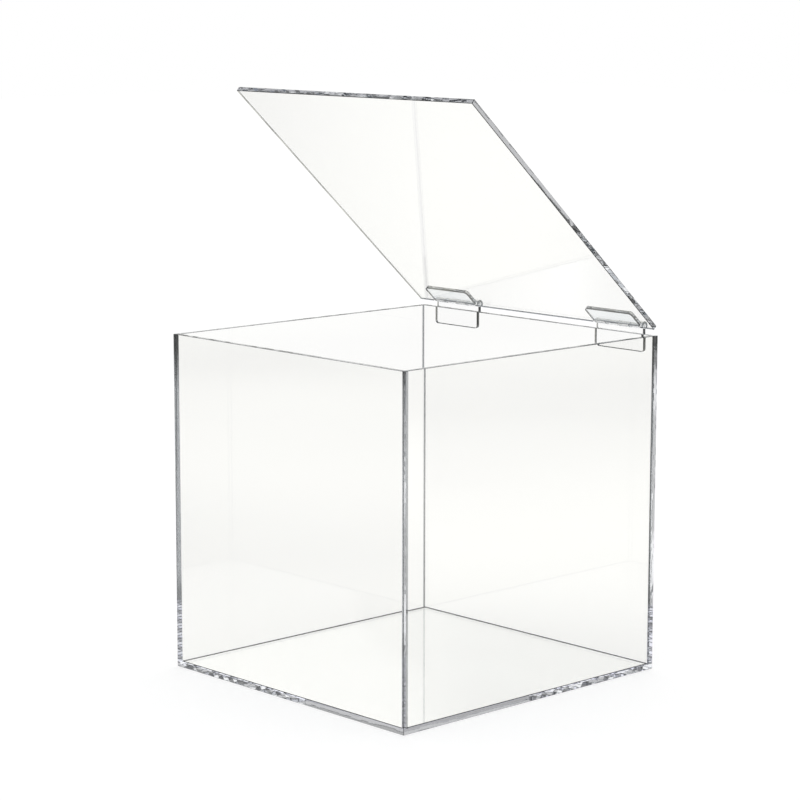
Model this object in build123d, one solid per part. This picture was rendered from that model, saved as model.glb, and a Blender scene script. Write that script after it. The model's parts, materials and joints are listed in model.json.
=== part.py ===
from build123d import *
import math
import os

# Clear acrylic box with a flat lid on two moulded butt hinges. Millimetres, +Z up.
# The origin is the centre of the underside. +Y is the hinged back, +X the right.
# The walls stand on the floor plate and are bonded edge to face with solvent cement.
# The lid is drawn where it stays by itself, part open, held by the stiffness of its hinges.

# Sheet stock
wall_sheet = 3.175
floor_sheet = 3.175
lid_sheet = 3.175

# Box: the front and back walls are the full width, the side walls fit between them,
# and all four are squares of the same size
box_width = 203.2
box_depth = 209.55
wall_height = 203.2

# Lid: what it stands out past the box at each side, at the front and at the back. Folded back it
# stops just short of hanging, with its free edge clear of the table.
lid_side_overhang = 0.0
lid_front_overhang = 0.0
lid_back_overhang = 0.0
lid_arris = 0.3
lid_seat_gap = 0.1
lid_open_angle = 42.2
fold_back_angle = 268.0
hanging_angle = 270.0

# Hinges: two alike, cemented outside, with the mounting faces of the leaves level with the barrel.
# The inset is from the side of the box to the outer end of the hinge, and the cement line is the
# film that lies between a leaf and its sheet.
hinge_inset = 12.1
hinge_width = 38.0
leaf_sheet = 2.5
wall_leaf_length = 17.2
lid_leaf_length = 15.0
leaf_corner_radius = 2.0
leaf_edge_round = 0.4
cement_line = 0.05
barrel_radius = 2.75
knuckle_count = 4
knuckle_gap = 0.4
knuckle_relief = 0.5
pin_radius = 1.2
pin_clearance = 0.05
pin_recess = 0.4

# Places that follow from the sizes above
rim_height = floor_sheet + wall_height
back_face = box_depth / 2
closed_lid_underside = rim_height + lid_seat_gap
axis_standoff = cement_line + barrel_radius
axis_y = back_face + axis_standoff
axis_z = closed_lid_underside + lid_sheet + axis_standoff
hinge_axis = Axis((0, axis_y, axis_z), (1, 0, 0))
hinge_reach = box_width / 2 - hinge_inset - hinge_width / 2
hinge_places = {"left": -hinge_reach, "right": hinge_reach}


def plate(x_range, y_range, z_range):
    """A flat rectangular plate between the given limits along X, Y and Z."""
    sizes = [high - low for low, high in (x_range, y_range, z_range)]
    centre = [(low + high) / 2 for low, high in (x_range, y_range, z_range)]
    return Pos(*centre) * Box(*sizes)


def floor_panel():
    """The floor plate: the walls stand on its margin."""
    return plate((-box_width / 2, box_width / 2), (-box_depth / 2, box_depth / 2), (0, floor_sheet))


def end_wall(side):
    """The front wall (side -1) or the back wall (side 1), as wide as the box."""
    outer = side * box_depth / 2
    inner = outer - side * wall_sheet
    return plate((-box_width / 2, box_width / 2), sorted((outer, inner)), (floor_sheet, rim_height))


def side_wall(side):
    """The left wall (side -1) or the right wall (side 1), fitted between the end walls."""
    outer = side * box_width / 2
    inner = outer - side * wall_sheet
    reach = box_depth / 2 - wall_sheet
    return plate(sorted((outer, inner)), (-reach, reach), (floor_sheet, rim_height))


def lid_panel():
    """The lid, lying closed on the rim, with its sharp edges broken."""
    half_width = box_width / 2 + lid_side_overhang
    front = -box_depth / 2 - lid_front_overhang
    back = back_face + lid_back_overhang
    underside = closed_lid_underside
    body = plate((-half_width, half_width), (front, back), (underside, underside + lid_sheet))
    return chamfer(body.edges(), lid_arris)


def knuckle_spans(owned_by_lid, margin):
    """The stretches along the pin of one leaf's knuckles. Margin lengthens each at its inner ends."""
    pitch = hinge_width / knuckle_count
    spans = []
    for k in range(0 if owned_by_lid else 1, knuckle_count, 2):
        low = -hinge_width / 2 + pitch * k
        high = low + pitch
        spans.append((low - margin if k > 0 else low, high + margin if k < knuckle_count - 1 else high))
    return spans


def along_pin(span, radius):
    """A round bar on the pin's axis over one span along X."""
    low, high = span
    return Pos((low + high) / 2, 0, 0) * Rot(0, 90, 0) * Cylinder(radius, high - low)


def hinge_leaf(owned_by_lid, length):
    """One leaf with its knuckles, hanging down from a pin that lies on the X axis.

    The wall's leaf has its mounting face on -Y and the lid's leaf has it on +Y, which is how
    the two hang back to back when the lid is folded right over.
    """
    mount_side = 1 if owned_by_lid else -1
    mount_face = mount_side * barrel_radius
    free_face = mount_side * (barrel_radius - leaf_sheet)
    ends = (-hinge_width / 2, hinge_width / 2)
    leaf = plate(ends, sorted((mount_face, free_face)), (-length, 0))
    low_corners = leaf.edges().filter_by(Axis.Y).group_by(Axis.Z)[0]
    leaf = fillet(low_corners, leaf_corner_radius)
    free_rim = leaf.faces().sort_by(Axis.Y)[0 if owned_by_lid else -1].edges()
    top_edges = free_rim.group_by(Axis.Z)[-1]
    leaf = fillet([edge for edge in free_rim if edge not in top_edges], leaf_edge_round)
    relief = (-barrel_radius - knuckle_relief, barrel_radius + knuckle_relief)
    for span in knuckle_spans(not owned_by_lid, knuckle_gap / 2):
        leaf -= plate(span, relief, relief)
    for span in knuckle_spans(owned_by_lid, -knuckle_gap / 2):
        leaf += along_pin(span, barrel_radius)
    return leaf - along_pin(ends, pin_radius + pin_clearance)


def hinge_pin():
    """The pin, just short of the barrel at both ends."""
    return along_pin((pin_recess - hinge_width / 2, hinge_width / 2 - pin_recess), pin_radius)


def on_wall(shape, x):
    """Puts a shape drawn about the pin's axis at a hinge's place."""
    return Pos(x, axis_y, axis_z) * shape


def swung(shape, angle):
    """Turns a lid piece about the hinge axis: positive opens the lid."""
    return shape.rotate(hinge_axis, -angle)


def build():
    """All the pieces by name, with the lid part open."""
    pieces = {
        "floor_panel": floor_panel(),
        "front_wall": end_wall(-1),
        "back_wall": end_wall(1),
        "left_wall": side_wall(-1),
        "right_wall": side_wall(1),
        "lid_panel": swung(lid_panel(), lid_open_angle),
    }
    for name, x in hinge_places.items():
        folded = on_wall(hinge_leaf(True, lid_leaf_length), x)
        pieces[name + "_hinge_wall_leaf"] = on_wall(hinge_leaf(False, wall_leaf_length), x)
        pieces[name + "_hinge_lid_leaf"] = swung(folded, lid_open_angle - hanging_angle)
        pieces[name + "_hinge_pin"] = on_wall(hinge_pin(), x)
    return pieces


os.makedirs("parts", exist_ok=True)
for node, shape in build().items():
    export_step(shape, os.path.join("parts", node + ".step"))

reach = box_depth / 2 + lid_front_overhang + axis_y
print("hinge axis at y", axis_y, "z", axis_z)
folded_reach = reach * math.sin(math.radians(fold_back_angle))
print("free edge above the table with the lid folded back: about", axis_z + folded_reach)
print("lid's free edge height at rest:", axis_z + reach * math.sin(math.radians(lid_open_angle)))
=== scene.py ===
import json
import logging
import math
from dataclasses import dataclass, field
from enum import Enum, StrEnum
from typing import Any, Dict, List, Optional, Sequence, Tuple, Union

import bmesh
import bpy
from bmesh.types import BMEdge, BMesh, BMFace, BMVert
from bpy.types import Material, Mesh, Node, NodeSocket, NodeTree, Object
from mathutils import Matrix, Vector


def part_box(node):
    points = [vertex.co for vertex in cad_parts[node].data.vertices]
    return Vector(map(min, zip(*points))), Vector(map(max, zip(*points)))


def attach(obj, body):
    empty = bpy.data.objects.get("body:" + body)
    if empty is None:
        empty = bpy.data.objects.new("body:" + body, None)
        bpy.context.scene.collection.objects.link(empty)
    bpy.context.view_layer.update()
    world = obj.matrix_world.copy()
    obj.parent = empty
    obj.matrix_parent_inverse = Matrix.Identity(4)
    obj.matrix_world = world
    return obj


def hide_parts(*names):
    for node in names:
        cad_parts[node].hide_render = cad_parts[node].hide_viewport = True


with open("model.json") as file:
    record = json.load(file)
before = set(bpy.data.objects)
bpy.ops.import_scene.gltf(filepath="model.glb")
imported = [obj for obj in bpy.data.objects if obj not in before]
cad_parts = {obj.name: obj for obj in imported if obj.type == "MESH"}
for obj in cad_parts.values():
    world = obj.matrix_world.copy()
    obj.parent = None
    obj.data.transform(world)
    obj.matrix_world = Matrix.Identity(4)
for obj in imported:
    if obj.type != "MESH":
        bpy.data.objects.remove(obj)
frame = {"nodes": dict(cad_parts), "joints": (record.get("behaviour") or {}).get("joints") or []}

Point = Tuple[float, float, float]
Stops = Tuple[Tuple[float, str], ...]
Source = Union[Node, NodeSocket]

LOG = logging.getLogger("storage_box")
MM = 0.001
ACRYLIC_IOR = 1.49

# How often light may bounce along a sheet, and how many bonds it may pass.
SHEET_BOUNCES = 96
BOND_CROSSINGS = 64

# Glossy Depth above which light has met one mirror face, and two, as in a sheet that guides it.
ONE_MIRROR = 0.5
TWO_MIRRORS = 1.5

# How nearly along an axis a sheet's face looks that counts as facing it, and how nearly two
# faces look the same way that counts as flat.
FACING = 0.99
FLAT = 0.5

# How far off a bond's plane a face may lie, and how close two borders may be.
IN_PLANE = 0.05 * MM
APART = 0.01 * MM

# Corners of a sheet are told apart to a tenth of a micrometre.
CORNERS_PER_METRE = 1e7


def linear(hex_colour: str) -> Tuple[float, float, float, float]:
    """Turns an sRGB hex colour into Blender's linear colour.

    Args:
        hex_colour: six hex digits, such as "a8adb3".

    Returns:
        Linear red, green, blue and an alpha of 1.
    """
    values = []
    for start in (0, 2, 4):
        part = int(hex_colour[start:start + 2], 16) / 255
        values.append(part / 12.92 if part <= 0.04045 else ((part + 0.055) / 1.055) ** 2.4)
    return (values[0], values[1], values[2], 1.0)


def add_node(
    tree: NodeTree,
    kind: str,
    settings: Optional[Dict[Any, Any]] = None,
    links: Optional[Dict[Any, Source]] = None,
) -> Node:
    """Adds one node with its settings and the sockets that feed it.

    Args:
        tree: the node tree that gets the node.
        kind: the node's Blender type, without the ShaderNode that it begins with.
        settings: values by input name, input number or property name.
        links: what feeds it, by input name or number: a socket, or a node for its first output.

    Returns:
        The new node.
    """
    node = tree.nodes.new("ShaderNode" + kind)
    for key, value in (settings or {}).items():
        if isinstance(key, int) or key in node.inputs:
            node.inputs[key].default_value = value
        else:
            setattr(node, key, value)
    for key, source in (links or {}).items():
        tree.links.new(source.outputs[0] if isinstance(source, Node) else source, node.inputs[key])
    return node


def mirrors_met(tree: NodeTree) -> List[Node]:
    """Tells apart how light has come here.

    Args:
        tree: the node tree that gets the nodes.

    Returns:
        Two nodes that give 1 where light has met one mirror face, and where it has met two.
    """
    rays = add_node(tree, "LightPath")
    return [
        add_node(tree, "Math", {"operation": "GREATER_THAN", 1: count},
                 {0: rays.outputs["Glossy Depth"]})
        for count in (ONE_MIRROR, TWO_MIRRORS)
    ]


def beside_middle(tree: NodeTree) -> Node:
    """Measures how far beside the box's middle a place lies.

    Args:
        tree: the node tree that gets the nodes.

    Returns:
        The larger of its distances along X and Y.
    """
    place = add_node(tree, "NewGeometry")
    sides = add_node(tree, "VectorMath", {"operation": "ABSOLUTE"}, {0: place.outputs["Position"]})
    parts = add_node(tree, "SeparateXYZ", {}, {0: sides})
    return add_node(tree, "Math", {"operation": "MAXIMUM"},
                    {0: parts.outputs["X"], 1: parts.outputs["Y"]})


class Side(StrEnum):
    """The sides of the box, by the word that the CAD nodes' names begin with."""

    FRONT = "front"
    BACK = "back"
    LEFT = "left"
    RIGHT = "right"


# The sides that the hinges are near, whose walls stand between the other two.
HINGE_SIDES = (Side.LEFT, Side.RIGHT)


class Carrier(StrEnum):
    """What a hinge leaf is cemented to, by the word in the CAD nodes' names."""

    WALL = "wall"
    LID = "lid"


class Direction(Enum):
    """The three axes of the shared frame."""

    X = 0
    Y = 1
    Z = 2


class SheetSurface(Enum):
    """The kinds of surface that a cut and cemented sheet has, in material slot order."""

    FACE = 0
    CUT = 1
    ARRIS = 2
    BOND = 3
    FOOT = 4
    LEAF = 5


class LeafSurface(Enum):
    """The kinds of surface that a moulded leaf has, in material slot order."""

    CLEAR = 0
    LINE = 1
    RIM = 2
    MOUNT = 3
    SEAM = 4
    SHADED_FACE = 5
    KNUCKLE_END = 6


@dataclass(frozen=True)
class Fade:
    """A soft step from one level to another.

    Attributes:
        start: where the step begins.
        end: where it ends.
        first: the level before it.
        last: the level after it.
    """

    start: float
    end: float
    first: float = 0.0
    last: float = 1.0

    def settings(self) -> Dict[str, float]:
        """Gives the step under the names of a Map Range node's inputs."""
        return {"From Min": self.start, "From Max": self.end, "To Min": self.first, "To Max": self.last}


@dataclass(frozen=True)
class TablePatch:
    """A soft round patch of the table: a painted pool of light in the mirrored table, and a painted
    shade in the guided one.

    Attributes:
        spot: its middle.
        core: how far from there it is at its full strength.
        reach: how far from there it ends.
    """

    spot: Point
    core: float
    reach: float

    def level(self, tree: NodeTree, inside: float, outside: float) -> Node:
        """Gives a level that changes softly at the patch's border.

        Args:
            tree: the table's node tree.
            inside: the level in the patch.
            outside: the level round it.

        Returns:
            The level.
        """
        place = add_node(tree, "NewGeometry")
        apart = add_node(tree, "VectorMath", {"operation": "DISTANCE", 1: self.spot},
                         {0: place.outputs["Position"]})
        border = Fade(self.core, self.reach, inside, outside)
        return add_node(tree, "MapRange", border.settings(), {"Value": apart.outputs["Value"]})


@dataclass(frozen=True)
class Finish:
    """What every finish shares: its name, its colour, and one material that is made once.

    Attributes:
        name: what the real material is and how its surface was made.
        tint: its sRGB colour.
    """

    name: str
    tint: str

    def material(self) -> Material:
        """Builds the finish once and hands the same material out after that.

        Returns:
            The material with this finish's name.
        """
        if self.name not in bpy.data.materials:
            made = bpy.data.materials.new(self.name)
            made.use_nodes = True
            made.node_tree.nodes.clear()
            self.dress(made)
        return bpy.data.materials[self.name]

    def dress(self, made: Material) -> None:
        """Fills the new material's empty node tree."""
        raise NotImplementedError(self.name)


@dataclass(frozen=True)
class ClearFinish(Finish):
    """What every see-through finish shares: real refraction, and shadows that let light by.

    Attributes:
        ior: its index of refraction.
        roughness: how much its surface scatters, from 0 for a mirror.
        shadow_tint: the colour of light that passes it on the way to a shadow.
        clarity: how much of the light that enters it goes through.
    """

    ior: float = ACRYLIC_IOR
    roughness: float = 0.0
    shadow_tint: str = "fdfefe"
    clarity: float = 1.0

    def relief(self, tree: NodeTree) -> Optional[Node]:
        """Gives the finish's surface relief, or None where it is smooth."""
        return None

    def dress(self, made: Material) -> None:
        """Makes the material refract, and let light by where it casts a shadow.

        Args:
            made: the new material.
        """
        made.diffuse_color = linear(self.tint)
        tree = made.node_tree
        relief = self.relief(tree)
        glass = add_node(tree, "BsdfPrincipled", {
            "Base Color": linear(self.tint), "IOR": self.ior, "Roughness": self.roughness,
            "Transmission Weight": self.clarity,
        }, {} if relief is None else {"Normal": relief})
        passed = add_node(tree, "BsdfTransparent", {"Color": linear(self.shadow_tint)})
        rays = add_node(tree, "LightPath")
        mixed = add_node(tree, "MixShader", {}, {
            "Fac": rays.outputs["Is Shadow Ray"], 1: glass, 2: passed,
        })
        add_node(tree, "OutputMaterial", {}, {"Surface": mixed})


@dataclass(frozen=True)
class CastAcrylicFace(ClearFinish):
    """Cast acrylic sheet as it comes off the glass it was cast on: clear, flat and mirror smooth."""

    name: str = "cast_acrylic_face"
    tint: str = "fffffe"


@dataclass(frozen=True)
class SawnAcrylicEdge(ClearFinish):
    """Acrylic edge, sawn and then flame polished: clear, but wavy with the saw's slanting marks.

    Real marks are a fraction of a millimetre apart, too fine to show, so these are drawn coarse.

    Attributes:
        mark_pitch: distance from mark to mark.
        slant: how far a mark runs along the edge for each unit across it.
        patch_length: length of the stretches where the marks are deeper or shallower.
        lean: how far the marks lean, from shallow to deep stretches.
        wear: how much of that lean is left along the run of the cut.
    """

    name: str = "sawn_acrylic_edge"
    tint: str = "eeeeef"
    roughness: float = 0.02
    mark_pitch: float = 5.0 * MM
    slant: float = 0.7
    patch_length: float = 35 * MM
    lean: Fade = Fade(0.4, 0.6, 0.09, 0.18)
    wear: Fade = Fade(94.5 * MM, 115.5 * MM, 1.0, 0.1)

    def relief(self, tree: NodeTree) -> Optional[Node]:
        """Gives the edge flat slanting saw marks, each leaning its own way, in rough patches.

        Args:
            tree: the material's node tree.

        Returns:
            The surface's direction, which leans only where the edge is seen from outside.
        """
        place = add_node(tree, "UVMap", {"uv_map": "run"})
        parts = add_node(tree, "SeparateXYZ", {}, {0: place})
        across = add_node(tree, "Math", {"operation": "MULTIPLY", 1: self.slant},
                          {0: parts.outputs["Y"]})
        along = add_node(tree, "Math", {"operation": "ADD"}, {0: parts.outputs["X"], 1: across})
        marks = add_node(tree, "TexVoronoi", {
            "voronoi_dimensions": "1D", "Scale": 1 / self.mark_pitch,
        }, {"W": along})
        patches = add_node(tree, "TexNoise", {
            "noise_dimensions": "1D", "Scale": 1 / self.patch_length, "Detail": 0.0,
        }, {"W": parts.outputs["X"]})
        centred = add_node(tree, "VectorMath", {"operation": "SUBTRACT", 1: (0.5, 0.5, 0.5)},
                           {0: marks.outputs["Color"]})
        rays = add_node(tree, "LightPath")
        depth = add_node(tree, "MapRange", self.lean.settings(), {"Value": patches.outputs["Fac"]})
        worn = add_node(tree, "MapRange", self.wear.settings(), {"Value": parts.outputs["X"]})
        for share in (worn, rays.outputs["Is Camera Ray"]):
            depth = add_node(tree, "Math", {"operation": "MULTIPLY"}, {0: depth, 1: share})
        tilt = add_node(tree, "VectorMath", {"operation": "SCALE"}, {0: centred, "Scale": depth})
        flat = add_node(tree, "NewGeometry")
        leaned = add_node(tree, "VectorMath", {"operation": "ADD"},
                          {0: flat.outputs["Normal"], 1: tilt})
        return add_node(tree, "VectorMath", {"operation": "NORMALIZE"}, {0: leaned})


@dataclass(frozen=True)
class ScrapedArrisPaintedShade(ClearFinish):
    """Acrylic corner taken off with a scraper: a hairline facet whose dark grey is painted shade, the
    dark line along a clear edge.
    """

    name: str = "scraped_arris_painted_shade"
    # painted shade: this dark grey stands in for the dark line that a clear edge shows
    tint: str = "26282a"
    roughness: float = 0.2


@dataclass(frozen=True)
class SolventBond(Finish):
    """Solvent-cemented joint face, wicked in by needle: clear across, grey where light skims along it.

    Attributes:
        skim: what is added to how squarely light crosses, so that its path stays finite.
    """

    name: str = "solvent_bonded_acrylic"
    tint: str = "dcddde"
    skim: float = 0.02

    def dress(self, made: Material) -> None:
        """Makes the cement dim light by the length of its path in the joint.

        Args:
            made: the new material.
        """
        tree = made.node_tree
        slope = add_node(tree, "LayerWeight", {"Blend": 0.5})
        upright = add_node(tree, "Math", {"operation": "SUBTRACT", 0: 1 + self.skim},
                           {1: slope.outputs["Facing"]})
        path = add_node(tree, "Math", {"operation": "DIVIDE", 0: 1.0}, {1: upright})
        kept = [
            add_node(tree, "Math", {"operation": "POWER", 0: part}, {1: path})
            for part in linear(self.tint)[:3]
        ]
        left = add_node(tree, "CombineColor", {}, dict(enumerate(kept)))
        clear = add_node(tree, "BsdfTransparent", {}, {"Color": left})
        add_node(tree, "OutputMaterial", {}, {"Surface": clear})


@dataclass(frozen=True)
class WeightedBond(SolventBond):
    """Solvent-cemented foot of a wall, pressed thin by the wall's own weight: nearly clear."""

    name: str = "foot_bonded_acrylic"
    tint: str = "fefeff"


@dataclass(frozen=True)
class LeafBond(SolventBond):
    """Hinge leaf cemented flat on its sheet: no air is left between the two, so it is clear."""

    name: str = "leaf_bonded_acrylic"
    tint: str = "fefefe"


@dataclass(frozen=True)
class CementBeadPaintedShade(ClearFinish):
    """Acrylic cement squeezed out of a joint and dried, with a soft gloss: a real hairline bead whose
    dark grey is painted shade for the crease that it fills.
    """

    name: str = "dried_cement_painted_shade"
    # partly real, partly painted: the bead is real cement, and its dark grey is painted shade
    tint: str = "6f7375"
    roughness: float = 0.15


@dataclass(frozen=True)
class MouldedAcrylic(ClearFinish):
    """Acrylic hinge leaf, injection moulded in a polished tool: clear and glossy."""

    name: str = "moulded_acrylic"
    tint: str = "ffffff"


@dataclass(frozen=True)
class MouldedRim(ClearFinish):
    """Rim of a moulded leaf, drafted and a little matt from the tool: clear with a grey cast."""

    name: str = "moulded_rim"
    tint: str = "f0f2f4"
    roughness: float = 0.05


@dataclass(frozen=True)
class LeafOutlinePaintedShade(ClearFinish):
    """Rounded corner and parting line of a moulded leaf, a little matt from the tool, with a thin dark
    grey outline that is painted shade for the dark edge of a clear rounded corner.
    """

    name: str = "leaf_outline_painted_shade"
    tint: str = "202428"
    # painted shade: the dark outline of a clear rounded corner
    roughness: float = 0.12
    clarity: float = 0.5


@dataclass(frozen=True)
class MountEdgeDarkLine(ClearFinish):
    """Cement wicked round the foot of a leaf and dried against its rim: a dark line."""
    # A dark line along the rim of a leaf, next to the sheet that carries it.

    name: str = "leaf_mount_dark_line"
    tint: str = "101418"
    roughness: float = 0.12
    clarity: float = 0.15


@dataclass(frozen=True)
class LidLeafPaintedShade(ClearFinish):
    """Outer face of a lid leaf: clear, with a cool grey cast that is painted shade, the bluish shading
    of the leaf as it lies.
    """

    name: str = "lid_leaf_face_painted_shade"
    # painted shade: the cool grey cast of the lid leaf's outer face
    tint: str = "ebf0f3"


@dataclass(frozen=True)
class KnuckleEndPaintedShade(ClearFinish):
    """End of a moulded knuckle, where it meets its neighbour: clear, with a grey cast that is painted
    shade between the knuckles.
    """

    name: str = "knuckle_end_painted_shade"
    # painted shade: the grey between neighbouring knuckles
    tint: str = "b8bec3"
    roughness: float = 0.05


@dataclass(frozen=True)
class ExtrudedRod(ClearFinish):
    """Clear acrylic rod, extruded: the hinge pin, which shows as a faint line inside the barrel."""

    name: str = "extruded_acrylic_rod"
    tint: str = "fcfdfe"


@dataclass(frozen=True)
class MattWhiteTop(Finish):
    """Board painted matt white: an even white ground that keeps the box's soft shadow.

    What a sheet's face mirrors of it is a painted reflection, patchy and grey with painted pools of
    light, and light guided in a sheet finds painted shade, dimmer still, which gives the walls their
    faint reflections and the cut edges their tones.

    Attributes:
        seen_tint: the colour that it gives off where it is looked at.
        seen_level: how strongly it does so.
        seen_through: the same through a sheet, by the distance beside the box's middle: painted light
            that lifts the table under the box.
        reflection_patch_scale: how many patches of painted reflection there are to a metre of mirrored
            table.
        reflection_patches: their levels.
        pools: where the mirrored table has painted pools of light.
        pool_level: the level there.
        mirrored_tint: its colour.
        far: the guided level, by the distance from the box's middle: painted shade that is darkest far
            off.
        near: the share of it that is left close by the box: a painted shadow of the box.
        shades: patches of painted shade, where it is darker.
        shade_level: the share that is left there.
        guided_tint: its colour.
    """

    name: str = "matt_white_table"
    tint: str = "b4b4b4"
    seen_tint: str = "ffffff"
    seen_level: float = 0.6
    # painted light: under the box, the table seen through a sheet is lifted brighter
    seen_through: Fade = Fade(0.103, 0.108, 0.87, 0.6)
    # painted reflection: the patchy grey and the pools of light that a sheet's face mirrors
    reflection_patch_scale: float = 1.6
    reflection_patches: Fade = Fade(0.38, 0.62, 0.25, 0.6)
    pools: Tuple[TablePatch, TablePatch] = (
        TablePatch((-0.25, 0.09, 0.0), 0.05, 0.36),
        TablePatch((0.45, 0.38, 0.0), 0.12, 0.5),
    )
    pool_level: float = 0.97
    mirrored_tint: str = "fdfdf4"
    # painted shade: the dimmer, patchy table that light guided in a sheet finds
    far: Fade = Fade(0.9, 1.2, 1.1, 0.15)
    near: Fade = Fade(0.13, 0.165, 0.6, 1.0)
    shades: Tuple[TablePatch, ...] = (
        TablePatch((-0.36, -0.14, 0.0), 0.1, 0.16),
        TablePatch((-0.33, 0.11, 0.0), 0.09, 0.16),
        TablePatch((-0.6, 0.57, 0.0), 0.14, 0.26),
        TablePatch((-0.58, -0.33, 0.0), 0.14, 0.24),
    )
    shade_level: float = 0.6
    guided_tint: str = "fcfdff"

    def dress(self, made: Material) -> None:
        """Shows the table by how light has come from it.

        Args:
            made: the new material.
        """
        tree = made.node_tree
        once, twice = mirrors_met(tree)
        direct = add_node(tree, "MixShader", {}, {
            "Fac": once, 1: self.looked_at(tree), 2: self.mirrored(tree),
        })
        final = add_node(tree, "MixShader", {}, {"Fac": twice, 1: direct, 2: self.guided(tree)})
        add_node(tree, "OutputMaterial", {}, {"Surface": final})

    def looked_at(self, tree: NodeTree) -> Node:
        """Gives the table that is looked at, straight or through a sheet: white with its shadow, and
        lifted by painted light under the box.

        Args:
            tree: the table's node tree.

        Returns:
            The shader, which gives off no light of its own to matt things.
        """
        rays = add_node(tree, "LightPath")
        under = add_node(tree, "MapRange", self.seen_through.settings(), {"Value": beside_middle(tree)})
        level = add_node(tree, "Mix", {"data_type": "FLOAT", 2: self.seen_level}, {
            0: rays.outputs["Is Transmission Ray"], 3: under,
        })
        matt = add_node(tree, "BsdfDiffuse", {"Color": linear(self.tint)})
        seen = add_node(tree, "Emission", {"Color": linear(self.seen_tint)}, {"Strength": level})
        both = add_node(tree, "AddShader", {}, {0: matt, 1: seen})
        return add_node(tree, "MixShader", {}, {
            "Fac": rays.outputs["Is Diffuse Ray"], 1: both, 2: matt,
        })

    def mirrored(self, tree: NodeTree) -> Node:
        """Gives the table that a sheet's face mirrors, as a painted reflection: patchy grey, with two
        soft painted pools of light.

        Args:
            tree: the table's node tree.

        Returns:
            The shader.
        """
        place = add_node(tree, "NewGeometry")
        noise = add_node(tree, "TexNoise", {"Scale": self.reflection_patch_scale, "Detail": 1.0},
                         {"Vector": place.outputs["Position"]})
        grey = add_node(tree, "MapRange", self.reflection_patches.settings(), {"Value": noise.outputs["Fac"]})
        one, other = [pool.level(tree, 1.0, 0.0) for pool in self.pools]
        lit = add_node(tree, "Math", {"operation": "MAXIMUM"}, {0: one, 1: other})
        level = add_node(tree, "Mix", {"data_type": "FLOAT", 3: self.pool_level}, {0: lit, 2: grey})
        return add_node(tree, "Emission", {"Color": linear(self.mirrored_tint)}, {"Strength": level})

    def guided(self, tree: NodeTree) -> Node:
        """Gives the table that light guided in a sheet finds, as painted shade: dim by the box and
        darkest far off.

        Args:
            tree: the table's node tree.

        Returns:
            The shader.
        """
        place = add_node(tree, "NewGeometry")
        away = add_node(tree, "VectorMath", {"operation": "LENGTH"}, {0: place.outputs["Position"]})
        level = add_node(tree, "MapRange", self.far.settings(), {"Value": away.outputs["Value"]})
        near = add_node(tree, "MapRange", self.near.settings(), {"Value": beside_middle(tree)})
        shades = [shade.level(tree, self.shade_level, 1.0) for shade in self.shades]
        for share in (near, *shades):
            level = add_node(tree, "Math", {"operation": "MULTIPLY"}, {0: level, 1: share})
        return add_node(tree, "Emission", {"Color": linear(self.guided_tint)}, {"Strength": level})


def place_mesh(shell: BMesh, name: str, finishes: Sequence[Finish]) -> Object:
    """Turns a finished shell into an object of the scene.

    Args:
        shell: the shell, which is used up.
        name: the object's name.
        finishes: its finishes, in material slot order.

    Returns:
        The object.
    """
    mesh = bpy.data.meshes.new(name)
    shell.to_mesh(mesh)
    shell.free()
    for finish in finishes:
        mesh.materials.append(finish.material())
    made = bpy.data.objects.new(name, mesh)
    bpy.context.scene.collection.objects.link(made)
    return made


@dataclass(frozen=True)
class BondedArea:
    """One rectangle of a sheet's surface that is cemented to its neighbour.

    Attributes:
        facing: the axis that the rectangle faces along.
        at: its place on that axis.
        low: its lower corner.
        high: its upper corner.
        joint: the kind of joint that it is.
    """

    facing: Direction
    at: float
    low: Point
    high: Point
    joint: SheetSurface = SheetSurface.FOOT

    def covers(self, centre: Vector, normal: Vector) -> bool:
        """Says whether a face of the sheet lies in this rectangle.

        Args:
            centre: the face's middle.
            normal: the face's outward direction.

        Returns:
            True if the face is cemented.
        """
        axis = self.facing.value
        if abs(normal[axis]) < FACING or abs(centre[axis] - self.at) > IN_PLANE:
            return False
        return all(self.low[i] <= centre[i] <= self.high[i] for i in range(3) if i != axis)


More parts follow.
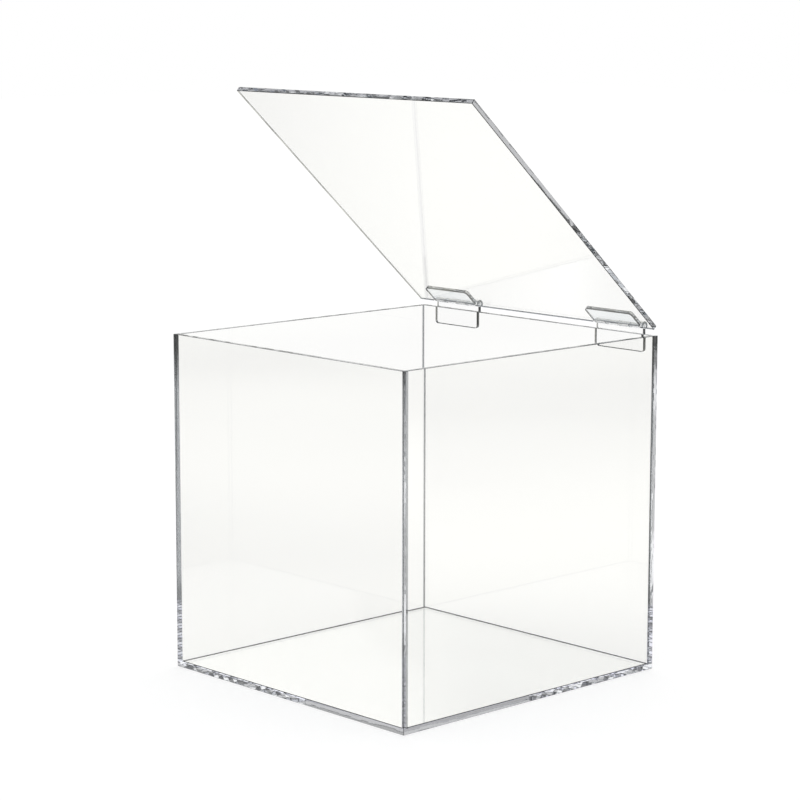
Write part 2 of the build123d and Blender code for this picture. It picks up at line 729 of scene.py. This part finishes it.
@dataclass
class SheetPiece:
    """One flat piece cut from acrylic sheet, with arrises on the edges that stay free.

    Attributes:
        node: the CAD node that it stands for.
        body: the body that it rides on.
        low: the piece's lower corner as it lies on the closed box.
        high: its upper corner.
        thin: the axis across its thickness.
        bonds: the areas that are cemented.
        arris: width taken off each free edge.
        turned: where the piece is at rest, if not where the closed box has it.
        upright_run: how fast the run counts up an upright edge.
    """

    node: str
    body: str
    low: Vector
    high: Vector
    thin: Direction
    bonds: List[BondedArea] = field(default_factory=list)
    arris: float = 0.2 * MM
    turned: Matrix = field(default_factory=lambda: Matrix.Identity(4))
    upright_run: float = 2.0

    def stops(self, axis: int) -> List[float]:
        """Lists where the surface is divided along an axis.

        Args:
            axis: the axis's number.

        Returns:
            The piece's two ends and the borders of its bonds between them, in order.
        """
        marks = {self.low[axis], self.high[axis]}
        for bond in self.bonds:
            for edge in (bond.low[axis], bond.high[axis]):
                if self.low[axis] + APART < edge < self.high[axis] - APART:
                    marks.add(edge)
        return sorted(marks)

    def bond_at(self, face: BMFace) -> Optional[BondedArea]:
        """Finds the bonded area that a face lies in, or None where it is free."""
        centre = face.calc_center_median()
        return next((bond for bond in self.bonds if bond.covers(centre, face.normal)), None)

    def rectangles(self) -> List[List[Point]]:
        """Divides the six sides of the piece at its bonds.

        Returns:
            The four corners of each rectangle.
        """
        found = []
        for axis in range(3):
            across, along = [i for i in range(3) if i != axis]
            rows, columns = self.stops(across), self.stops(along)
            for level in (self.low[axis], self.high[axis]):
                for a0, a1 in zip(rows, rows[1:]):
                    for b0, b1 in zip(columns, columns[1:]):
                        loop = []
                        for a, b in ((a0, b0), (a1, b0), (a1, b1), (a0, b1)):
                            place = [0.0, 0.0, 0.0]
                            place[axis], place[across], place[along] = level, a, b
                            loop.append(tuple(place))
                        found.append(loop)
        return found

    def shell(self) -> BMesh:
        """Makes the closed shell of the piece, divided at its bonds, with its arrises cut.

        Returns:
            The mesh, where the closed box has the piece.
        """
        shell = bmesh.new()
        corners: Dict[Tuple[int, ...], BMVert] = {}
        for rectangle in self.rectangles():
            loop = []
            for place in rectangle:
                key = tuple(round(value * CORNERS_PER_METRE) for value in place)
                if key not in corners:
                    corners[key] = shell.verts.new(place)
                loop.append(corners[key])
            shell.faces.new(loop)
        bmesh.ops.recalc_face_normals(shell, faces=shell.faces)
        free = [edge for edge in shell.edges if self.is_free(edge)]
        bmesh.ops.bevel(
            shell, geom=free, offset=self.arris, offset_type="OFFSET", segments=1,
            profile=0.5, affect="EDGES", clamp_overlap=True,
        )
        return shell

    def is_free(self, edge: BMEdge) -> bool:
        """Says whether an edge is an outer corner between two surfaces that aren't cemented.

        Args:
            edge: an edge of the shell.

        Returns:
            True if the edge gets an arris.
        """
        one, other = edge.link_faces
        if abs(one.normal.dot(other.normal)) > FLAT:
            return False
        return self.bond_at(one) is None and self.bond_at(other) is None

    def surface(self, face: BMFace) -> SheetSurface:
        """Names the kind of surface that a face is part of.

        Args:
            face: a face of the shell.

        Returns:
            The surface's kind.
        """
        bond = self.bond_at(face)
        if bond is not None:
            return bond.joint
        if abs(face.normal[self.thin.value]) > FACING:
            return SheetSurface.FACE
        if max(abs(value) for value in face.normal) > FACING:
            return SheetSurface.CUT
        return SheetSurface.ARRIS

    def lay_run(self, shell: BMesh) -> None:
        """Writes where each corner lies along and across the sheet's edges, in metres.

        The run starts at the end where the blade came out, which has the deepest marks.

        Args:
            shell: the mesh that gets the layer.
        """
        layer = shell.loops.layers.uv.new("run")
        thin = self.thin.value
        flat = [i for i in range(3) if i != thin]
        for face in shell.faces:
            edge_on = max(flat, key=lambda i: abs(face.normal[i]))
            along = flat[1] if edge_on == flat[0] else flat[0]
            for corner in face.loops:
                place = corner.vert.co
                sawn = (place.x - self.low.x, self.high.y - place.y, self.upright_run * place.z)
                if abs(face.normal[thin]) > FACING:
                    corner[layer].uv = (sawn[flat[0]], sawn[flat[1]])
                else:
                    corner[layer].uv = (sawn[along], place[thin])

    def build(self) -> Object:
        """Makes the piece, dresses it and puts it in the frame for its CAD node.

        Returns:
            The finished object.
        """
        shell = self.shell()
        self.lay_run(shell)
        for face in shell.faces:
            face.material_index = self.surface(face).value
            face.smooth = False
        shell.transform(self.turned)
        piece = place_mesh(shell, self.node + "_sheet", (
            CastAcrylicFace(), SawnAcrylicEdge(), ScrapedArrisPaintedShade(), SolventBond(), WeightedBond(),
            LeafBond(),
        ))
        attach(piece, self.body)
        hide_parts(self.node)
        return piece


@dataclass
class DisplayBox:
    """The open box: a floor sheet with four walls cemented on it.

    Attributes:
        bead: how far the squeezed-out cement reaches from the inside foot of the walls.
        slump: what part of that reach is left half way up its hollow side.
    """

    bead: float = 0.45 * MM
    slump: float = 0.35

    def build(self) -> List[Object]:
        """Makes the floor, the walls and the bead of cement.

        Returns:
            The six pieces.
        """
        return [self.floor(), *[self.wall(side) for side in Side], self.foot_bead()]

    def foot_bead(self) -> Object:
        """Runs the hairline of squeezed-out cement round the inside foot of the walls, whose dark grey
        is painted shade for that crease.

        Returns:
            The bead.
        """
        floor_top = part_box("floor_panel")[1].z
        left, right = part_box("left_wall")[1].x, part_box("right_wall")[0].x
        front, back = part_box("front_wall")[1].y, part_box("back_wall")[0].y
        corners = [(left, front, 1, 1), (right, front, -1, 1),
                   (right, back, -1, -1), (left, back, 1, -1)]
        hollow = self.slump * self.bead
        section = [(0.0, 0.0), (self.bead, 0.0), (hollow, hollow), (0.0, self.bead)]
        strip = bmesh.new()
        rings = []
        for x, y, inward_x, inward_y in corners:
            rings.append([
                strip.verts.new((x + inward_x * out, y + inward_y * out, floor_top + up))
                for out, up in section
            ])
        for ring, following in zip(rings, rings[1:] + rings[:1]):
            for k in range(len(section)):
                other = (k + 1) % len(section)
                strip.faces.new((ring[k], ring[other], following[other], following[k]))
        bmesh.ops.recalc_face_normals(strip, faces=strip.faces)
        bead = place_mesh(strip, "foot_cement_bead", (CementBeadPaintedShade(),))
        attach(bead, "box")
        return bead

    def floor(self) -> Object:
        """Makes the floor sheet, whose rim of top face carries the walls.

        Returns:
            The floor.
        """
        low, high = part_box("floor_panel")
        bonds = []
        for name in ("front_wall", "back_wall", "left_wall", "right_wall"):
            foot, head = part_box(name)
            bonds.append(BondedArea(Direction.Z, high.z, (foot.x, foot.y, 0), (head.x, head.y, 0)))
        return SheetPiece("floor_panel", "box", low, high, Direction.Z, bonds).build()

    def wall(self, side: Side) -> Object:
        """Makes one wall: the left and right ones are held between the front and back ones.

        Args:
            side: the wall's side of the box.

        Returns:
            The wall.
        """
        low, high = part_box(side + "_wall")
        if side in HINGE_SIDES:
            thin, joints = Direction.X, [(end, low, high) for end in (low.y, high.y)]
        else:
            thin, inner = Direction.Y, (high.y if side is Side.FRONT else low.y)
            joints = [(inner, *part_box(name)) for name in ("left_wall", "right_wall")]
        bonds = [BondedArea(Direction.Z, low.z, (low.x, low.y, 0), (high.x, high.y, 0))]
        for at, foot, head in joints:
            bonds.append(BondedArea(Direction.Y, at, (foot.x, 0, foot.z),
                                    (head.x, 0, head.z), SheetSurface.BOND))
        if side is Side.BACK:
            for hinge in HINGE_SIDES:
                foot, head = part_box(hinge + "_hinge_wall_leaf")
                bonds.append(BondedArea(Direction.Y, high.y, (foot.x, 0, foot.z),
                                        (head.x, 0, high.z), SheetSurface.LEAF))
        return SheetPiece(side + "_wall", "box", low, high, thin, bonds).build()


@dataclass
class LiftingLid:
    """The flat lid sheet, shown at the angle that its hinges hold in the photograph.

    Attributes:
        arris: width taken off the lid's edges.
    """

    arris: float = 0.3 * MM

    def turn(self) -> Matrix:
        """Gives the turn from the closed lid to the lid at rest.

        Returns:
            The turn about the hinge line.
        """
        joint = frame["joints"][0]
        pivot = Vector(joint["pos_m"])
        opened = math.radians(-joint["range_deg"][0])
        spin = Matrix.Rotation(opened, 4, Vector(joint["axis"]))
        return Matrix.Translation(pivot) @ spin @ Matrix.Translation(-pivot)

    def build(self) -> Object:
        """Makes the lid in its place at rest.

        Returns:
            The lid.
        """
        turn = self.turn()
        back = turn.inverted()
        closed = [back @ vertex.co for vertex in frame["nodes"]["lid_panel"].data.vertices]
        low = Vector([min(place[i] for place in closed) for i in range(3)])
        high = Vector([max(place[i] for place in closed) for i in range(3)])
        bonds = []
        for hinge in HINGE_SIDES:
            solid = frame["nodes"][hinge + "_hinge_lid_leaf"]
            leaf = [back @ vertex.co for vertex in solid.data.vertices]
            first, last = min(place.x for place in leaf), max(place.x for place in leaf)
            reach = min(place.y for place in leaf)
            bonds.append(BondedArea(Direction.Z, high.z, (first, reach, 0), (last, high.y, 0),
                                    SheetSurface.LEAF))
            bonds.append(BondedArea(Direction.Y, high.y, (first, 0, low.z), (last, 0, high.z),
                                    SheetSurface.LEAF))
        return SheetPiece(
            "lid_panel", "lid", low, high, Direction.Z, bonds, self.arris, turn
        ).build()


@dataclass(frozen=True)
class LeafLie:
    """How a hinge leaf lies at rest, measured from the hinge line.

    Attributes:
        pivot: a place on the hinge line.
        square: the direction away from the sheet that carries the leaf.
        down: the direction from the hinge line to the leaf's far end.
        sheet: how far down the sheet begins.
        mount: how far out the cemented side is.
        top: how far out the outer side is.
    """

    pivot: Vector
    square: Vector
    down: Vector
    sheet: float
    mount: float
    top: float


@dataclass
class MouldedLeaf:
    """One leaf of a moulded hinge, made from its solid with its kinds of surface told apart.

    Attributes:
        side: the side of the box that its hinge is near.
        carrier: what it is cemented to.
        body: the body that it rides on.
        square_enough: how nearly along a direction a face looks that counts as facing it.
        barrel: how far from the hinge line the knuckles reach.
        plate: how far from there the leaf is plain for certain.
        line: width of the grey line of painted shade along the outer side of its rim.
        seam: width of the dark line along the side next to the sheet.
        sliver: length under which an edge is taken out after the leaf is divided.
    """

    side: Side
    carrier: Carrier
    body: str
    square_enough: float = 0.995
    barrel: float = 2.8 * MM
    plate: float = 5.6 * MM
    line: float = 0.5 * MM
    seam: float = 1.0 * MM
    sliver: float = 0.002 * MM

    def lie(self, mesh: Mesh) -> LeafLie:
        """Measures how the leaf lies.

        Args:
            mesh: the leaf's solid.

        Returns:
            Its place and directions at rest.
        """
        joint = frame["joints"][0]
        pivot = Vector(joint["pos_m"])
        wall_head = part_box("back_wall")[1]
        square, down, sheet = Vector((0, 1, 0)), Vector((0, 0, -1)), pivot.z - wall_head.z
        if self.carrier is Carrier.LID:
            opened = Matrix.Rotation(math.radians(-joint["range_deg"][0]), 3, Vector(joint["axis"]))
            square, down = opened @ Vector((0, 0, 1)), opened @ Vector((0, -1, 0))
            sheet = pivot.y - wall_head.y
        places = [vertex.co - pivot for vertex in mesh.vertices]
        mount = min(place.dot(square) for place in places)
        top = max(place.dot(square) for place in places if place.dot(down) > self.plate)
        return LeafLie(pivot, square, down, sheet, mount, top)

    def divide(self, shell: BMesh, lie: LeafLie) -> None:
        """Divides the leaf where its sheet begins and at the borders of the two lines on its rim.

        Args:
            shell: the leaf's mesh.
            lie: how the leaf lies.
        """
        for facing, at in ((lie.down, lie.sheet), (lie.square, lie.mount + self.seam),
                           (lie.square, lie.top - self.line)):
            parts = shell.verts[:] + shell.edges[:] + shell.faces[:]
            place = lie.pivot + at * facing
            bmesh.ops.bisect_plane(shell, geom=parts, plane_co=place, plane_no=facing)
        bmesh.ops.dissolve_degenerate(shell, dist=self.sliver, edges=shell.edges[:])

    def surface(self, face: BMFace, lie: LeafLie) -> LeafSurface:
        """Names the kind of surface that a face of the leaf is part of.

        Args:
            face: a face of the divided leaf.
            lie: how the leaf lies.

        Returns:
            The surface's kind.
        """
        place = face.calc_center_median() - lie.pivot
        height, reach = place.dot(lie.square), place.dot(lie.down)
        squareness = face.normal.dot(lie.square)
        on_sheet, at_mount = reach > lie.sheet, height - lie.mount < self.seam
        if abs(squareness) > self.square_enough:
            if squareness < 0 and on_sheet and at_mount:
                return LeafSurface.MOUNT
            # painted shade: only the lid leaves' outer faces get the cool grey cast
            shaded_face = squareness > 0 and on_sheet and self.carrier is Carrier.LID
            return LeafSurface.SHADED_FACE if shaded_face else LeafSurface.CLEAR
        if reach < self.barrel:
            end_face = abs(face.normal.x) > self.square_enough
            return LeafSurface.KNUCKLE_END if end_face else LeafSurface.CLEAR
        if reach < lie.sheet:
            return LeafSurface.RIM
        if at_mount:
            return LeafSurface.SEAM
        return LeafSurface.LINE if lie.top - height < self.line else LeafSurface.RIM

    def build(self) -> Object:
        """Makes the leaf, dresses it and puts it in the frame for its CAD node.

        Returns:
            The finished object.
        """
        node = f"{self.side}_hinge_{self.carrier}_leaf"
        solid = frame["nodes"][node].data
        lie = self.lie(solid)
        shell = bmesh.new()
        shell.from_mesh(solid)
        self.divide(shell, lie)
        for face in shell.faces:
            face.material_index = self.surface(face, lie).value
        piece = place_mesh(shell, node + "_moulding", (
            MouldedAcrylic(), LeafOutlinePaintedShade(), MouldedRim(), LeafBond(), MountEdgeDarkLine(),
            LidLeafPaintedShade(), KnuckleEndPaintedShade(),
        ))
        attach(piece, self.body)
        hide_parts(node)
        return piece


@dataclass
class LeafHinge:
    """One moulded clear hinge: the pin and the two leaves that it joins.

    Attributes:
        side: the side of the box that it is near.
    """

    side: Side

    def build(self) -> List[Object]:
        """Dresses the pin, which keeps the shape of its solid, and makes the two leaves.

        Returns:
            The three pieces.
        """
        pin = frame["nodes"][f"{self.side}_hinge_pin"]
        pin.data.materials.clear()
        pin.data.materials.append(ExtrudedRod().material())
        wall_leaf = MouldedLeaf(self.side, Carrier.WALL, "box").build()
        return [pin, wall_leaf, MouldedLeaf(self.side, Carrier.LID, "lid").build()]


@dataclass
class WhiteTable:
    """The white table that the box stands on.

    Attributes:
        size: side of its square.
        drop: how far it lies under the box, so that the floor sheet keeps its air gap.
    """

    size: float = 12.0
    drop: float = 0.2 * MM

    def build(self) -> None:
        """Makes the table and keeps it out of the part."""
        sheet = bmesh.new()
        bmesh.ops.create_grid(sheet, x_segments=1, y_segments=1, size=self.size / 2)
        table = place_mesh(sheet, "table", (MattWhiteTop(),))
        table.location.z = -self.drop


@dataclass
class WhiteRoom:
    """A room painted white: even where it is seen, with an even light on the box.

    What a sheet's face mirrors of it is a painted reflection, grey above and darker on one side, and
    what light guided in a sheet finds is painted light and shade in bands and streaks, which gives the
    cut edges their bright and dark stretches.

    Attributes:
        fill: its level as a lamp.
        fill_tint: its colour as a lamp.
        plain: bands of the room that is seen, by height from the horizon's 0 to 1 overhead.
        mirrored: the same of the room that a sheet's face mirrors, as a painted reflection.
        pale_side: the level direction of the mirrored room's paler half.
        pale: its levels, from the darker half to the paler one.
        guided: the same of the room that guided light finds, as painted light and shade.
        painted_streak_scale: how many painted dark streaks fit in the unit of direction.
        stands: the levels of a painted dark streak and of the room between streaks.
        quiet_line: the level line along which there are none.
        quiet: how near to that line they fade out.
        quiet_level: the level there.
    """

    fill: float = 0.72
    fill_tint: str = "ffffff"
    plain: Stops = ((0.45, "ffffff"), (0.6, "8c9096"))
    # painted reflection: the room as a sheet's face mirrors it
    mirrored: Stops = ((0.0, "f6f6f4"), (0.4, "f2f2f0"), (0.55, "8c9096"), (0.8, "7c8086"))
    pale_side: Point = (-0.692, -0.722, 0.0)
    pale: Fade = Fade(-0.02, 0.02, 0.82, 1.0)
    # painted light and shade: the bands and streaks that light guided in a sheet finds
    guided: Stops = (
        (0.0, "6c727c"), (0.05, "8c939e"), (0.08, "f4f6f8"), (0.4, "fbfcfd"), (0.6, "a8adb3"),
        (0.9, "e8ebee"),
    )
    painted_streak_scale: float = 12.0
    stands: Fade = Fade(0.44, 0.5, 0.3, 1.2)
    quiet_line: Point = (-0.73, 0.685, 0.0)
    quiet: Fade = Fade(0.75, 0.95)
    quiet_level: float = 0.5

    def bands(self, tree: NodeTree, stops: Stops) -> Node:
        """Gives colours that change with the height in the room.

        Args:
            tree: the room's node tree.
            stops: heights and their colours, from the lowest up.

        Returns:
            The colour.
        """
        look = add_node(tree, "TexCoord")
        parts = add_node(tree, "SeparateXYZ", {}, {0: look.outputs["Generated"]})
        banded = add_node(tree, "ValToRGB", {}, {"Fac": parts.outputs["Z"]})
        marks = banded.color_ramp.elements
        for k, (height, tone) in enumerate(stops):
            if k == len(marks):
                marks.new(height)
            marks[k].position = height
            marks[k].color = linear(tone)
        return banded

    def mirrored_room(self, tree: NodeTree) -> Node:
        """Gives the room that a sheet's face mirrors, as a painted reflection: grey above, and darker
        on one side.

        Args:
            tree: the room's node tree.

        Returns:
            The colour.
        """
        look = add_node(tree, "TexCoord")
        toward = add_node(tree, "VectorMath", {
            "operation": "DOT_PRODUCT", 1: self.pale_side,
        }, {0: look.outputs["Generated"]})
        level = add_node(tree, "MapRange", self.pale.settings(), {"Value": toward.outputs["Value"]})
        return add_node(tree, "VectorMath", {"operation": "SCALE"}, {
            0: self.bands(tree, self.mirrored), "Scale": level,
        })

    def guided_room(self, tree: NodeTree) -> Node:
        """Gives the room that guided light finds, as painted light and shade: banded, with dark streaks
        and an even stretch.

        Args:
            tree: the room's node tree.

        Returns:
            The colour.
        """
        look = add_node(tree, "TexCoord")
        toward = add_node(tree, "VectorMath", {
            "operation": "DOT_PRODUCT", 1: self.quiet_line,
        }, {0: look.outputs["Generated"]})
        nearness = add_node(tree, "Math", {"operation": "ABSOLUTE"}, {0: toward.outputs["Value"]})
        even = add_node(tree, "MapRange", self.quiet.settings(), {"Value": nearness})
        noise = add_node(tree, "TexNoise", {"Scale": self.painted_streak_scale, "Detail": 0.0},
                         {"Vector": look.outputs["Generated"]})
        striped = add_node(tree, "MapRange", self.stands.settings(), {"Value": noise.outputs["Fac"]})
        level = add_node(tree, "Mix", {"data_type": "FLOAT", 3: self.quiet_level}, {
            0: even, 2: striped,
        })
        return add_node(tree, "VectorMath", {"operation": "SCALE"}, {
            0: self.bands(tree, self.guided), "Scale": level,
        })

    def build(self) -> None:
        """Makes the room, which looks by how light has come from it and lights evenly."""
        world = bpy.data.worlds.new("white_studio")
        bpy.context.scene.world = world
        world.use_nodes = True
        tree = world.node_tree
        tree.nodes.clear()
        once, twice = mirrors_met(tree)
        direct = add_node(tree, "Mix", {"data_type": "RGBA"}, {
            0: once, 6: self.bands(tree, self.plain), 7: self.mirrored_room(tree),
        })
        seen = add_node(tree, "Mix", {"data_type": "RGBA"}, {
            0: twice, 6: direct.outputs[2], 7: self.guided_room(tree),
        })
        open_air = add_node(tree, "Background", {}, {"Color": seen.outputs[2]})
        fill = add_node(tree, "Background", {"Color": linear(self.fill_tint), "Strength": self.fill})
        rays = add_node(tree, "LightPath")
        looks = rays.outputs["Is Camera Ray"]
        for kind in ("Is Glossy Ray", "Is Transmission Ray"):
            looks = add_node(tree, "Math", {"operation": "MAXIMUM"}, {0: looks, 1: rays.outputs[kind]})
        chosen = add_node(tree, "MixShader", {}, {"Fac": looks, 1: fill, 2: open_air})
        add_node(tree, "OutputWorld", {}, {"Surface": chosen})


@dataclass
class OverheadSoftbox:
    """The one wide lamp, which only shapes the soft shadow.

    Attributes:
        level: its level.
        spread: how wide it looks from the box, in degrees.
        tilt: how far it leans from straight overhead, about X and about Y, in degrees.
    """

    level: float = 0.9
    spread: float = 40.0
    tilt: Tuple[float, float] = (-22.0, -18.0)

    def build(self) -> None:
        """Hangs the lamp where no sheet shows it."""
        light = bpy.data.lights.new("overhead_softbox", "SUN")
        light.energy = self.level
        light.angle = math.radians(self.spread)
        lamp = bpy.data.objects.new("overhead_softbox", light)
        about_x, about_y = (math.radians(angle) for angle in self.tilt)
        lamp.rotation_euler = (about_x, about_y, 0)
        lamp.visible_glossy = False
        lamp.visible_transmission = False
        bpy.context.scene.collection.objects.link(lamp)


@dataclass
class PhotoCamera:
    """The camera where the photograph was taken from.

    Attributes:
        place: its place, in metres.
        yaw: its bearing round the box from the front, in degrees.
        pitch: how far above the level it stands, in degrees.
        roll: its lean, in degrees.
        picture: width of the picture, in pixels.
        focal: focal length, in the same pixels.
        shift: how far the picture is shifted in its frame, as a part of its width.
        sensor: width of the sensor, in millimetres.
        clip: the nearest and the farthest place that it takes in, in metres.
    """

    place: Point = (1.13358, -1.07605, 0.42463)
    yaw: float = 46.758
    pitch: float = 9.385
    roll: float = 0.079
    picture: float = 800
    focal: float = 2619.76
    shift: Tuple[float, float] = (-0.00384, 0.0004)
    sensor: float = 36
    clip: Tuple[float, float] = (0.01, 100)

    def build(self) -> None:
        """Makes the camera and hands it to the scene."""
        yaw, pitch, roll = (math.radians(angle) for angle in (self.yaw, self.pitch, self.roll))
        back = Vector((
            math.sin(yaw) * math.cos(pitch), -math.cos(yaw) * math.cos(pitch), math.sin(pitch)
        ))
        level = Vector((math.cos(yaw), math.sin(yaw), 0))
        rise = back.cross(level)
        right = level * math.cos(roll) + rise * math.sin(roll)
        up = back.cross(right)
        lens = bpy.data.cameras.new("photo_camera")
        lens.sensor_width = self.sensor
        lens.lens = self.focal / self.picture * self.sensor
        lens.shift_x, lens.shift_y = self.shift
        lens.clip_start, lens.clip_end = self.clip
        camera = bpy.data.objects.new("photo_camera", lens)
        turn = Matrix((right, up, back)).transposed().to_4x4()
        camera.matrix_world = Matrix.Translation(Vector(self.place)) @ turn
        bpy.context.scene.collection.objects.link(camera)
        bpy.context.scene.camera = camera


def set_light_paths() -> None:
    """Lets light bounce along a whole sheet, as it does in clear acrylic."""
    scene = bpy.context.scene
    scene.view_settings.view_transform = "Standard"
    scene.cycles.max_bounces = SHEET_BOUNCES
    scene.cycles.glossy_bounces = SHEET_BOUNCES
    scene.cycles.transmission_bounces = SHEET_BOUNCES
    scene.cycles.transparent_max_bounces = BOND_CROSSINGS


def main() -> None:
    """Builds the studio, the camera and every sub-assembly in order, and reports each piece."""
    logging.basicConfig(level=logging.INFO, format="%(message)s")
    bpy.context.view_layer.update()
    set_light_paths()
    PhotoCamera().build()
    WhiteTable().build()
    WhiteRoom().build()
    OverheadSoftbox().build()
    pieces = DisplayBox().build() + [LiftingLid().build()]
    for side in HINGE_SIDES:
        pieces += LeafHinge(side).build()
    for piece in pieces:
        LOG.info("%s: %d faces", piece.name, len(piece.data.polygons))


if __name__ == "__main__":
    main()
